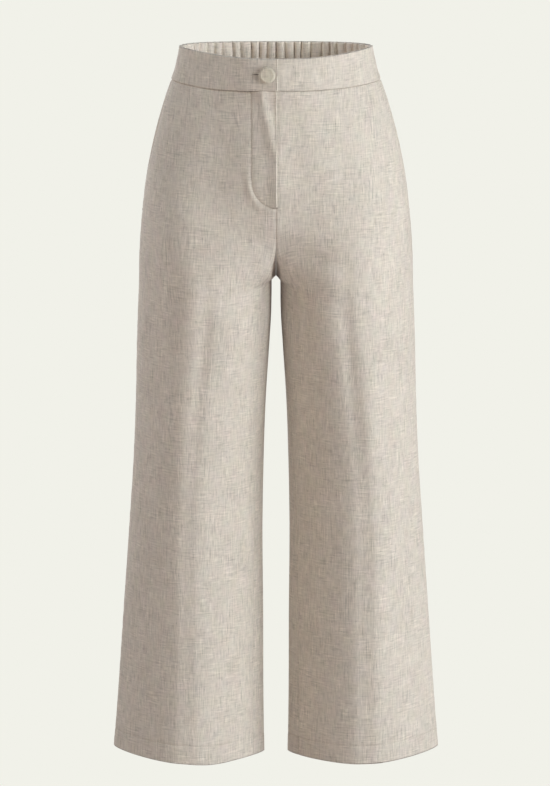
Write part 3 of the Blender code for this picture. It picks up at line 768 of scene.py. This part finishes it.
def gather_height(share, level, hand, fading=True):
    """Height of the gathers. share: from the centre back at 0 to the side seam at 1."""
    count = np.arange(HALF_GATHERS)
    uneven = GATHER_UNEVEN[hand]
    widths = 1 + 0.28 * np.sin(uneven * count + 0.6) + 0.5 * count / HALF_GATHERS
    bounds = np.concatenate([[0], np.cumsum(widths)]) / widths.sum()
    depths = GATHER_DEPTH * (1 + 0.3 * np.sin(1.3 * uneven * count + 1.1))
    troughs = -0.25 * (depths + np.roll(depths, 1))
    troughs = np.concatenate([[-0.5 * GATHER_DEPTH], troughs[1:], [0.0]])
    drift = 0.010 * np.sin(level / 19.0 + 9 * share) * np.clip(share * (1 - share) * 12, 0, 1)
    place = np.clip(share + drift, 0, 1)
    k = np.clip(np.searchsorted(bounds, place) - 1, 0, HALF_GATHERS - 1)
    t = (place - bounds[k]) / (bounds[k + 1] - bounds[k])
    trough = np.where(t < 0.5, troughs[k], troughs[k + 1])
    height = trough + (0.5 * depths[k] - trough) * abs(np.sin(pi * t)) ** GATHER_ROUND
    if fading:
        last = GATHER_END + GATHER_END_SPREAD * np.sin(2.3 * k + uneven)
        height *= ramp(level, last, WAIST_SEAM) ** GATHER_FADE
    return height


def back_panel(side, hand):
    last = 180 + inseam_turn(back_levels)
    turns, levels, shares, widths = sheet_grid(back_levels, SIDE_SEAM, last, BACK_SPACING, np.max)
    from_side = shares * widths
    from_inner = widths - from_side
    raised = seam_roll(from_inner, levels, 5.0 + hand) + seam_roll(from_side, levels, 3.0 + hand)
    raised = raised + hem_relief(levels) + gather_height(1 - shares, levels, hand) + waist_dip(levels)
    raised = raised + crotch_draw(levels, from_inner) * BACK_DRAW
    points = cloth_point(levels, turns, hand, raised)
    points[..., 1] += inner_corner(levels, turns, hand)
    chart = leg_chart(levels, ring_point(levels, turns)[..., 0], from_inner, hand, -1, shift=1.0)
    piece = shell("back_" + side + "_cloth", points, panel_cloth(levels), hand, chart, panel_linen)
    dress(piece, "back_" + side)


for hand, side in SIDES:
    back_panel(side, hand)

# ---------------------------------------------------------------- waistband
# A straight band of doubled, interfaced linen in two plain fronts, and a back that is drawn up on elastic
# into small upright gathers, inside and out. The right front laps over the left at the centre.
BAND_TOP, BAND_CLOTH, BAND_PROUD = 22.0, 2.4, 0.5
BAND_EDGE_DIP, TOP_EDGE, SEAM_EDGE = 0.5, 1.4, 1.0
BAND_TIP, BAND_TIP_REACH = 1.3, 26.0
LAP_PAST, UNDERLAP, LAP_GAP, LAP_LIP = 2.0, 33.0, 0.3, 1.4
LAP_RISE, LAP_FULL, LAP_FULLNESS = (56.0, 36.0), (30.0, 80.0), 0.7
LAP_ROLL, LAP_ROLL_REACH, LAP_SINK, LAP_SINK_AWAY, LAP_SINK_REACH = 0.5, 3.0, 0.8, 1.6, 1.5
FRONT_BAND_STEP, BACK_BAND_STEP, BACK_BAND_EDGE = 2.4, 1.25, (0.8, 1.0)
band_levels = BAND_TOP - spaced(BAND_TOP - WAIST_SEAM, 2.2, (0.5, 0.8, 1.2), (1.2, 0.8, 0.5))
band_linen = linen("waistband_linen", OATMEAL)
# The back band's inside faces take a paler copy of the same linen. This is painted light, brightening the
# inside as if it were lit.
band_inside_painted_light = linen("waistband_inside_painted_light", (0.92, 0.83, 0.735))


def band_swell(level):
    """Rounded top and bottom edges of the doubled band, which also tips in towards its top."""
    from_top = BAND_TOP - level
    edges = -BAND_EDGE_DIP * hump(from_top, TOP_EDGE) - BAND_EDGE_DIP * hump(level - WAIST_SEAM, SEAM_EDGE)
    return edges - BAND_TIP * smooth(1 - from_top / BAND_TIP_REACH)


def softness(across, level, seed):
    """Slight unevenness that a pressed, interfaced band still has."""
    broad = np.sin(across / 17 + seed + 0.6 * np.sin(level / 13))
    return 0.16 * (broad + 0.7 * np.sin(across / 9.3 - 2 * seed + level / 21))


def turns_for_x(levels, x):
    """Turns on the front of the body rings at distances from the centre, past it where negative."""
    turns = np.linspace(-300, -60, 961)
    found = []
    for level, row in zip(levels, np.broadcast_to(x, (len(levels), np.shape(x)[-1]))):
        found.append(np.interp(row, body_point(np.full_like(turns, level), turns)[:, 0], turns))
    return np.array(found)


def front_band_height(levels, x, hand, lapping):
    """How far a front band stands off its ring. The lapping end rises over the underlap."""
    rise = ramp(x, *LAP_RISE) * lapping
    lift = (BAND_CLOTH + LAP_GAP) * rise**2 * (3 - 2 * rise)
    roll = LAP_ROLL * hump(x + LAP_PAST, LAP_ROLL_REACH) * lapping
    beside = -LAP_SINK * hump(x - LAP_PAST - LAP_SINK_AWAY, LAP_SINK_REACH) * (not lapping)
    proud = BAND_PROUD + LAP_FULLNESS * smooth(ramp(x, *LAP_FULL)) * lapping
    return proud + lift + band_swell(levels) + softness(x, levels, 1.0 + hand) + roll + beside


def front_band(side, hand):
    lapping = hand == RIGHT
    start = -LAP_PAST if lapping else -UNDERLAP
    wave = (0.35 * np.sin(band_levels / 6.5 + 0.4) + 0.2 * np.sin(band_levels / 2.9)) * lapping
    first = turns_for_x(band_levels, (start - wave)[:, None])[:, 0]
    turns, levels, shares, widths = sheet_grid(
        band_levels, first, SIDE_SEAM, FRONT_BAND_STEP, np.mean
    )
    raised = front_band_height(levels, body_point(levels, turns)[..., 0], hand, lapping)
    points = cloth_point(levels, turns, hand, raised + seam_roll((1 - shares) * widths, levels, 2.0))
    chart = np.stack([(2.0 + hand * (shares * widths + start) * MM), levels * MM], -1)
    lip = LAP_LIP if lapping else SEAM_LIP
    piece = shell("waistband_front_" + side + "_cloth", points, BAND_CLOTH, hand, chart, band_linen, lip)
    return dress(piece, "waistband_front_" + side)


front_band("left", LEFT)
front_band("right", RIGHT)

PUFF_INSIDE, PUFF_ROUND, PUFF_FROM, PUFF_TO = 6.5, 0.5, -0.5, 0.55
INSIDE_PROUD, LEAST_CLOTH, GATHERED_SHARE = 0.4, 0.8, 1.45


def back_band():
    """One piece round the back, from the left side seam to the right, gathered on its elastic. Each gather is
    puffed, inside and out, where the elastic doesn't draw it in."""
    halves = []
    for hand in (LEFT, RIGHT):
        turns, levels, shares, widths = sheet_grid(
            band_levels, SIDE_SEAM, 180.0, BACK_BAND_STEP, np.mean, BACK_BAND_EDGE, ()
        )
        height = gather_height(1 - shares, levels, hand, fading=False)
        raised = BAND_PROUD + band_swell(levels) + height + seam_roll(shares * widths, levels, 2.0)
        puff = PUFF_INSIDE * ramp(height / GATHER_DEPTH, PUFF_FROM, PUFF_TO) ** PUFF_ROUND
        inside = BAND_PROUD - BAND_CLOTH + INSIDE_PROUD - band_swell(levels) - puff
        points = cloth_point(levels, turns, hand, raised) * (hand, 1, 1)
        inner = cloth_point(levels, turns, hand, np.minimum(inside, raised - LEAST_CLOTH)) * (hand, 1, 1)
        chart = np.stack([3.0 + hand * (1 - shares) * widths * GATHERED_SHARE * MM, levels * MM], -1)
        halves.append([part if hand == LEFT else part[:, -2::-1] for part in (points, inner, chart)])
    points, inner, chart = [np.concatenate(parts, axis=1) for parts in zip(*halves)]
    # The inner faces take the paler linen, which is painted light on the inside of the band.
    faces = dict(inner=inner, painted_light_inside=band_inside_painted_light)
    piece = shell("waistband_back_cloth", points, BAND_CLOTH, LEFT, chart, band_linen, **faces)
    dress(piece, "waistband_back")


back_band()

# ---------------------------------------------------------------- fly
# The fly is a J-shaped facing of the same linen behind the right front, stitched through so that its
# outline shows as a pressed groove, with a small bar tack where it ends. Its folded edge laps the left.
FLY_FLAT, FLY_THICK, FLY_SOFT, FLY_SOFT_CLOSE = 0.12, 0.8, 0.5, 1.4
FLY_PLUMP_REACH, FLY_PLUMP_POWER, FLY_END_REACH = 3.0, 1.6, 1.2
FLY_EDGE, FLY_EDGE_REACH, FLY_ROLL, FLY_ROLL_REACH = 0.6, 2.2, 0.8, 2.5
DRAWN, DRAWN_POWER = (-112, -32), 0.8
BULGE_LOW, BULGE_HIGH, BULGE_REACH, BULGE_REACH_HIGH = 3.9, 4.2, 7.8, 6.8
CREST_LOW, CREST_HIGH = -1.0, 18.0
FLY_SHARES = (0, 0.02, 0.045, 0.08), (0.90, 0.93, 0.96, 0.98, 1.0)  # columns close together at its two edges


def fly_height(level, x):
    """How far the stitched fly stands off the front under it: least at the J, and most along a crest that
    is drawn away from the folded edge towards the top."""
    below = np.maximum(0.0, level - FLY_END)
    curve = np.maximum(0, (FLY_BEND - level) / FLY_DROP)
    across = FLY_WIDTH * np.sqrt(np.maximum(0, 1 - curve**2))
    from_j = np.maximum(0.0, np.minimum(across - x, below * FLY_END_REACH))
    plump = 1 - np.exp(-((from_j / FLY_PLUMP_REACH) ** FLY_PLUMP_POWER))
    drawn = ramp(level, *DRAWN) ** DRAWN_POWER
    crest = (CREST_HIGH - CREST_LOW) * drawn + CREST_LOW
    reach = BULGE_REACH + (BULGE_REACH_HIGH - BULGE_REACH) * drawn
    bulge = (BULGE_LOW + (BULGE_HIGH - BULGE_LOW) * drawn) * hump(x - crest, reach)
    body = FLY_THICK + bulge + FLY_SOFT * softness(x * FLY_SOFT_CLOSE, level, 4.0)
    return FLY_FLAT + body * plump + FLY_EDGE * hump(x + FLY_PAST, FLY_EDGE_REACH)


def fly_placket():
    straight = np.linspace(WAIST_SEAM - 0.3, FLY_BEND, 48)
    curve = FLY_BEND - FLY_DROP * np.sin(np.radians(np.linspace(4, 86, 22)))
    down = np.concatenate([straight, curve])
    bend = np.maximum(0.0, (FLY_BEND - down) / FLY_DROP)
    widths = FLY_WIDTH * np.sqrt(1 - bend**2)
    shares = np.concatenate([FLY_SHARES[0], np.linspace(0.12, 0.86, 12), FLY_SHARES[1]])
    x = -FLY_PAST + (widths[:, None] + FLY_PAST) * shares
    turns = turns_for_x(down, x)
    levels = np.broadcast_to(down[:, None], turns.shape)
    raised = fly_height(levels, x)
    points = cloth_point(levels, turns, RIGHT, raised)
    chart = np.stack([-x * MM - 0.1, levels * MM], -1)
    thickness = 0.5 + raised * 0.6 + FLY_ROLL * hump(x + FLY_PAST, FLY_ROLL_REACH)
    piece = shell("fly_placket_cloth", points, thickness, RIGHT, chart, panel_linen, seam_lip=1.0)
    dress(piece, "fly_placket")


fly_placket()

# ---------------------------------------------------------------- pocket facings
# Slanted side pockets. Only a sliver of each pocket's facing shows, where the front's edge stands a little
# open between its two tacked ends.
FACING_MARGIN, FACING_PAST_SEAM, FACING_PAST_MOUTH = 10.0, 6.0, 5.0
FACING_SUNK, FACING_CLOTH, FACING_ROWS, FACING_COLUMNS = 1.4, 1.0, 46, 14


def pocket_facing(side, hand):
    down = np.linspace(POCKET_TOP + FACING_PAST_MOUTH, POCKET_BOTTOM - FACING_PAST_MOUTH, FACING_ROWS)
    shares = np.linspace(0, 1, FACING_COLUMNS)
    first = SIDE_SEAM - pocket_gape(down) - FACING_MARGIN
    turns, widths = turns_at(down, first, SIDE_SEAM + FACING_PAST_SEAM, shares)
    levels = np.broadcast_to(down[:, None], turns.shape)
    points = cloth_point(levels, turns, hand, -FACING_SUNK)
    chart = np.stack([hand * shares * widths[:, None] * MM + 4.0, levels * MM], -1)
    piece = shell("pocket_facing_" + side + "_cloth", points, FACING_CLOTH, hand, chart, panel_linen)
    dress(piece, "pocket_facing_" + side)


for hand, side in SIDES:
    pocket_facing(side, hand)

# ---------------------------------------------------------------- sewing
# Linen thread, a shade paler than the cloth: the J of the fly and its bar tack, the hems, the tacks at the
# ends of the pocket mouths, and the buttonhole's close stitches round its slit.
THREAD_SIDES, THREAD, ARCH, STITCH_AROUND = 6, 0.2, 0.2, 0.22
# Rings of a thread: share of its length, lift as a share of its arch, girth as a share of its radius.
THREAD_RINGS = ((0, -0.35, 0.5), (0.12, 0.45, 0.9), (0.5, 1.0, 1.0), (0.88, 0.45, 0.9), (1, -0.35, 0.5))


def thread_material(name, colour):
    """Matt linen thread, mottled by its fibres."""
    material, nodes, links, shader = new_material(name)
    set_sockets(shader, Roughness=0.7, Sheen_Weight=0.2)
    place = nodes.new("ShaderNodeTexCoord")
    fibres = set_sockets(nodes.new("ShaderNodeTexNoise"), Scale=900, Detail=2)
    ramp_node = nodes.new("ShaderNodeValToRGB")
    for element, tone in zip(ramp_node.color_ramp.elements, (0.8, 1.15)):
        element.color = (*[c * tone for c in colour], 1)
    bump = set_sockets(nodes.new("ShaderNodeBump"), Distance=0.0001)
    links.new(place.outputs["Object"], fibres.inputs["Vector"])
    links.new(fibres.outputs["Fac"], ramp_node.inputs["Fac"])
    links.new(ramp_node.outputs["Color"], shader.inputs["Base Color"])
    links.new(fibres.outputs["Fac"], bump.inputs["Height"])
    links.new(bump.outputs[0], shader.inputs["Normal"])
    return material


linen_thread = thread_material("linen_thread", (0.50, 0.45, 0.385))


def threads(name, starts, ends, normals, radius, arch, material):
    """Short arched threads from point to point on the cloth, in millimetres, their ends sunk in it."""
    along = ends - starts
    beside = unit(np.cross(along, normals))
    angles = 2 * pi * np.arange(THREAD_SIDES) / THREAD_SIDES
    rings = []
    for share, lift, girth in THREAD_RINGS:
        centre = starts + along * share + normals * arch * lift
        spokes = [centre + radius * girth * (beside * cos(a) + normals * sin(a)) for a in angles]
        rings.append(np.stack(spokes, 1))
    points = np.stack(rings, 1) * MM
    count = THREAD_SIDES * len(rings)
    faces = []
    for ring in range(len(rings) - 1):
        for k in range(THREAD_SIDES):
            a, b = ring * THREAD_SIDES + k, ring * THREAD_SIDES + (k + 1) % THREAD_SIDES
            faces.append((a, a + THREAD_SIDES, b + THREAD_SIDES, b))
    caps = [tuple(range(THREAD_SIDES)), tuple(range(count - 1, count - THREAD_SIDES - 1, -1))]
    every = [tuple(v + count * n for v in face) for n in range(len(starts)) for face in faces + caps]
    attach(new_piece(name, points.reshape(-1, 3).tolist(), every, material), "root")


def on_cloth(level, turn, hand, raised=0.0):
    """Points and normals on the garment's own left or right, in millimetres."""
    side = (hand, 1, 1)
    return cloth_point(level, turn, hand, raised) * side, ring_normal(level, turn) * side


def running_stitches(path, normals, pitch, share=0.76):
    """Starts, ends and normals of even stitches along a path of points."""
    length = np.concatenate([[0], np.cumsum(np.linalg.norm(np.diff(path, axis=0), axis=1))])
    count = int(length[-1] / pitch)
    begin = np.arange(count) * (length[-1] / count)

    def at(place, values):
        return np.stack([np.interp(place, length, values[:, axis]) for axis in range(3)], -1)

    return at(begin, path), at(begin + pitch * share, path), unit(at(begin + pitch * share / 2, normals))


STITCH_INSIDE, FLY_PITCH, HEM_PITCH, HEM_STITCH = 1.3, 2.9, 3.4, 0.7
TACK_PITCH, TACK_TURN, TACK_IN, TACK_HALF, TACK_RAISED = 0.36, 0.45, 1.5, 1.1, -0.1
BAR_HALF, BAR_UP, BAR_THREAD, BAR_ARCH = 1.0, 0.6, 0.24, 0.4


def fly_sewing():
    stitch_x = FLY_WIDTH - STITCH_INSIDE
    straight = np.linspace(WAIST_SEAM - 1.5, FLY_BEND, 60)
    bend = np.radians(np.linspace(2, 86, 40))
    level = np.concatenate([straight, FLY_BEND - (FLY_DROP - STITCH_INSIDE) * np.sin(bend)])
    x = np.concatenate([np.full(60, stitch_x), stitch_x * np.cos(bend)])
    turn = turns_for_x(level, x[:, None])[:, 0]
    path = on_cloth(level, turn, RIGHT, fly_height(level, x) - 0.05)
    threads("fly_stitching", *running_stitches(*path, FLY_PITCH), THREAD, STITCH_AROUND, linen_thread)
    x, level = np.arange(-2.6, 5.0, TACK_PITCH), FLY_END + BAR_UP
    turn = turns_for_x([level], x)[0]
    ends = [on_cloth(level + rise, turn, RIGHT, 1.0)[0] for rise in (BAR_HALF, -BAR_HALF)]
    threads("fly_bar_tack", *ends, on_cloth(level, turn, RIGHT)[1], BAR_THREAD, BAR_ARCH, linen_thread)


def hem_sewing(name, hand):
    path = on_cloth(HEM_TOP, np.linspace(-180, 180, 721), hand, hem_relief(HEM_TOP) + 0.05)
    threads(name, *running_stitches(*path, HEM_PITCH, HEM_STITCH), THREAD, ARCH, linen_thread)


def pocket_tacks(name, hand):
    across = np.arange(-1.2, 3.6, TACK_PITCH)
    turn = np.tile(SIDE_SEAM - TACK_TURN * across, 2)
    level = np.repeat([POCKET_TOP + TACK_IN, POCKET_BOTTOM - TACK_IN], len(across))
    ends = [on_cloth(level + rise, turn, hand, TACK_RAISED)[0] for rise in (TACK_HALF, -TACK_HALF)]
    threads(name, *ends, on_cloth(level, turn, hand)[1], THREAD, ARCH, linen_thread)


fly_sewing()
for hand, side in SIDES:
    hem_sewing("hem_stitching_" + side, hand)
    pocket_tacks("pocket_tacks_" + side, hand)

# ---------------------------------------------------------------- button and buttonhole
# A shell button covered in the same linen: a rolled rim round a nearly flat face, on the lapped end of the
# band. It closes through a level buttonhole, whose worked end shows beside it.
BUTTON_X, BUTTON_LEVEL, BUTTON_OFF = -11.5, -0.5, 0.15
BUTTON_RADIUS, BUTTON_SIDE, BUTTON_SEGMENTS = 10.7, 6.2, 72
BUTTON_RIM, BUTTON_TUCK, BUTTON_ROLL, BUTTON_BENDS = 3.0, 2.2, 0.36, 7
BUTTON_FACE = ((0.7, -0.24), (0.8, -0.10), (2.0, 0.10), (2.4, 0.14))  # inset and rise of each ring
BUTTON_FLAT = 0.99


def surface_of_lap(x, level):
    """Place and normal on the lapped end of the band, at a distance x from the centre to the right."""
    level, x = alike(level, x)
    turn = turns_for_x(level.ravel(), x.ravel()[:, None])[:, 0].reshape(x.shape)
    return on_cloth(level, turn, RIGHT, front_band_height(level, x, RIGHT, True))


def select_faces(mesh, chosen):
    """Select, in edit mode, the faces that chosen accepts."""
    bpy.ops.mesh.select_all(action="DESELECT")
    bpy.ops.object.mode_set(mode="OBJECT")
    for face in mesh.polygons:
        face.select = chosen(face)
    bpy.ops.object.mode_set(mode="EDIT")


def covered_button():
    size = dict(radius=BUTTON_RADIUS * MM, depth=BUTTON_SIDE * MM, location=(0, 0, BUTTON_SIDE / 2 * MM))
    bpy.ops.mesh.primitive_cylinder_add(vertices=BUTTON_SEGMENTS, **size)
    piece = bpy.context.object
    piece.name = "button_cover"
    bpy.ops.object.transform_apply(location=True, rotation=False, scale=False)
    bpy.ops.object.mode_set(mode="EDIT")
    bpy.ops.mesh.select_mode(type="FACE")
    for rim, up in ((BUTTON_RIM, 1), (BUTTON_TUCK, -1)):
        select_faces(piece.data, lambda face: face.normal.z * up > 0.9)
        bpy.ops.mesh.bevel(offset=rim * MM, segments=BUTTON_BENDS, profile=BUTTON_ROLL, affect="EDGES")
    select_faces(piece.data, lambda face: face.normal.z > BUTTON_FLAT and face.area > 1e-4)
    for inset, rise in BUTTON_FACE:
        bpy.ops.mesh.inset(thickness=inset * MM, depth=rise * MM)
    bpy.ops.mesh.poke()
    bpy.ops.object.mode_set(mode="OBJECT")
    layer = piece.data.uv_layers.new(name="cut")
    for loop in piece.data.loops:
        place = piece.data.vertices[loop.vertex_index].co
        layer.data[loop.index].uv = (place.x + 5.0, place.y)
    for other in list(piece.data.uv_layers):
        if other.name != "cut":
            piece.data.uv_layers.remove(other)
    seat, normal = surface_of_lap(-BUTTON_X, BUTTON_LEVEL)
    up = Vector((0, 0, 1)).rotation_difference(Vector(normal)).to_matrix().to_4x4()
    piece.matrix_world = Matrix.Translation(Vector(seat + normal * BUTTON_OFF) * MM) @ up
    bpy.ops.object.transform_apply(location=True, rotation=True, scale=True)
    bpy.ops.object.shade_smooth()
    piece.data.materials.append(linen("button_cover_linen", (0.57, 0.52, 0.43)))
    dress(piece, "button")


HOLE_FROM, HOLE_TO, HOLE_LEVEL = 12.0, 29.0, 0.6
HOLE_HALF, HOLE_STITCH, HOLE_PITCH, HOLE_TAPER = 0.45, 1.7, 0.42, 6.0
HOLE_THREAD, HOLE_ARCH, SLIT_OFF, SLIT_SHADE_THICK = 0.23, 0.3, 0.12, 0.1
hole_thread = thread_material("buttonhole_thread", (0.72, 0.67, 0.59))
# slit_shade is the thread material made near black: painted shade for the shadow in the open slit.
slit_shade = thread_material("slit_shade", (0.10, 0.085, 0.07))


def buttonhole():
    """Close stitches above and below the slit, and a fan of them round its end."""
    straight = np.arange(HOLE_FROM, HOLE_TO, HOLE_PITCH)
    level_way = np.zeros(len(straight))
    fan = np.radians(np.linspace(-80, 80, 9))
    x = np.concatenate([straight, straight, np.full(len(fan), HOLE_TO)])
    out_x = np.concatenate([level_way, level_way, np.cos(fan)])
    out_z = np.concatenate([level_way + 1, level_way - 1, np.sin(fan)])
    inner, normal = surface_of_lap(x + HOLE_HALF * out_x, HOLE_LEVEL + HOLE_HALF * out_z)
    outer, _ = surface_of_lap(x + HOLE_STITCH * out_x, HOLE_LEVEL + HOLE_STITCH * out_z)
    threads("buttonhole_stitching", inner, outer, normal, HOLE_THREAD, HOLE_ARCH, hole_thread)
    # A thin near-black sheet along the slit is painted shade, standing for the shadow inside the buttonhole.
    x = np.linspace(HOLE_TO, HOLE_FROM, 24)
    taper = np.clip((x - HOLE_TO + HOLE_TAPER) / HOLE_TAPER, 0, 1)
    half = HOLE_HALF * np.sqrt(np.clip(1 - taper**2, 0.02, 1))
    rows = [surface_of_lap(x, HOLE_LEVEL + side * half) for side in (1, 0, -1)]
    rows = np.array([place + normal * SLIT_OFF for place, normal in rows])
    slit = shell("buttonhole_slit_painted_shade", rows, SLIT_SHADE_THICK, LEFT, rows[..., [0, 2]] * MM, slit_shade)
    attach(slit, "root")


covered_button()
buttonhole()
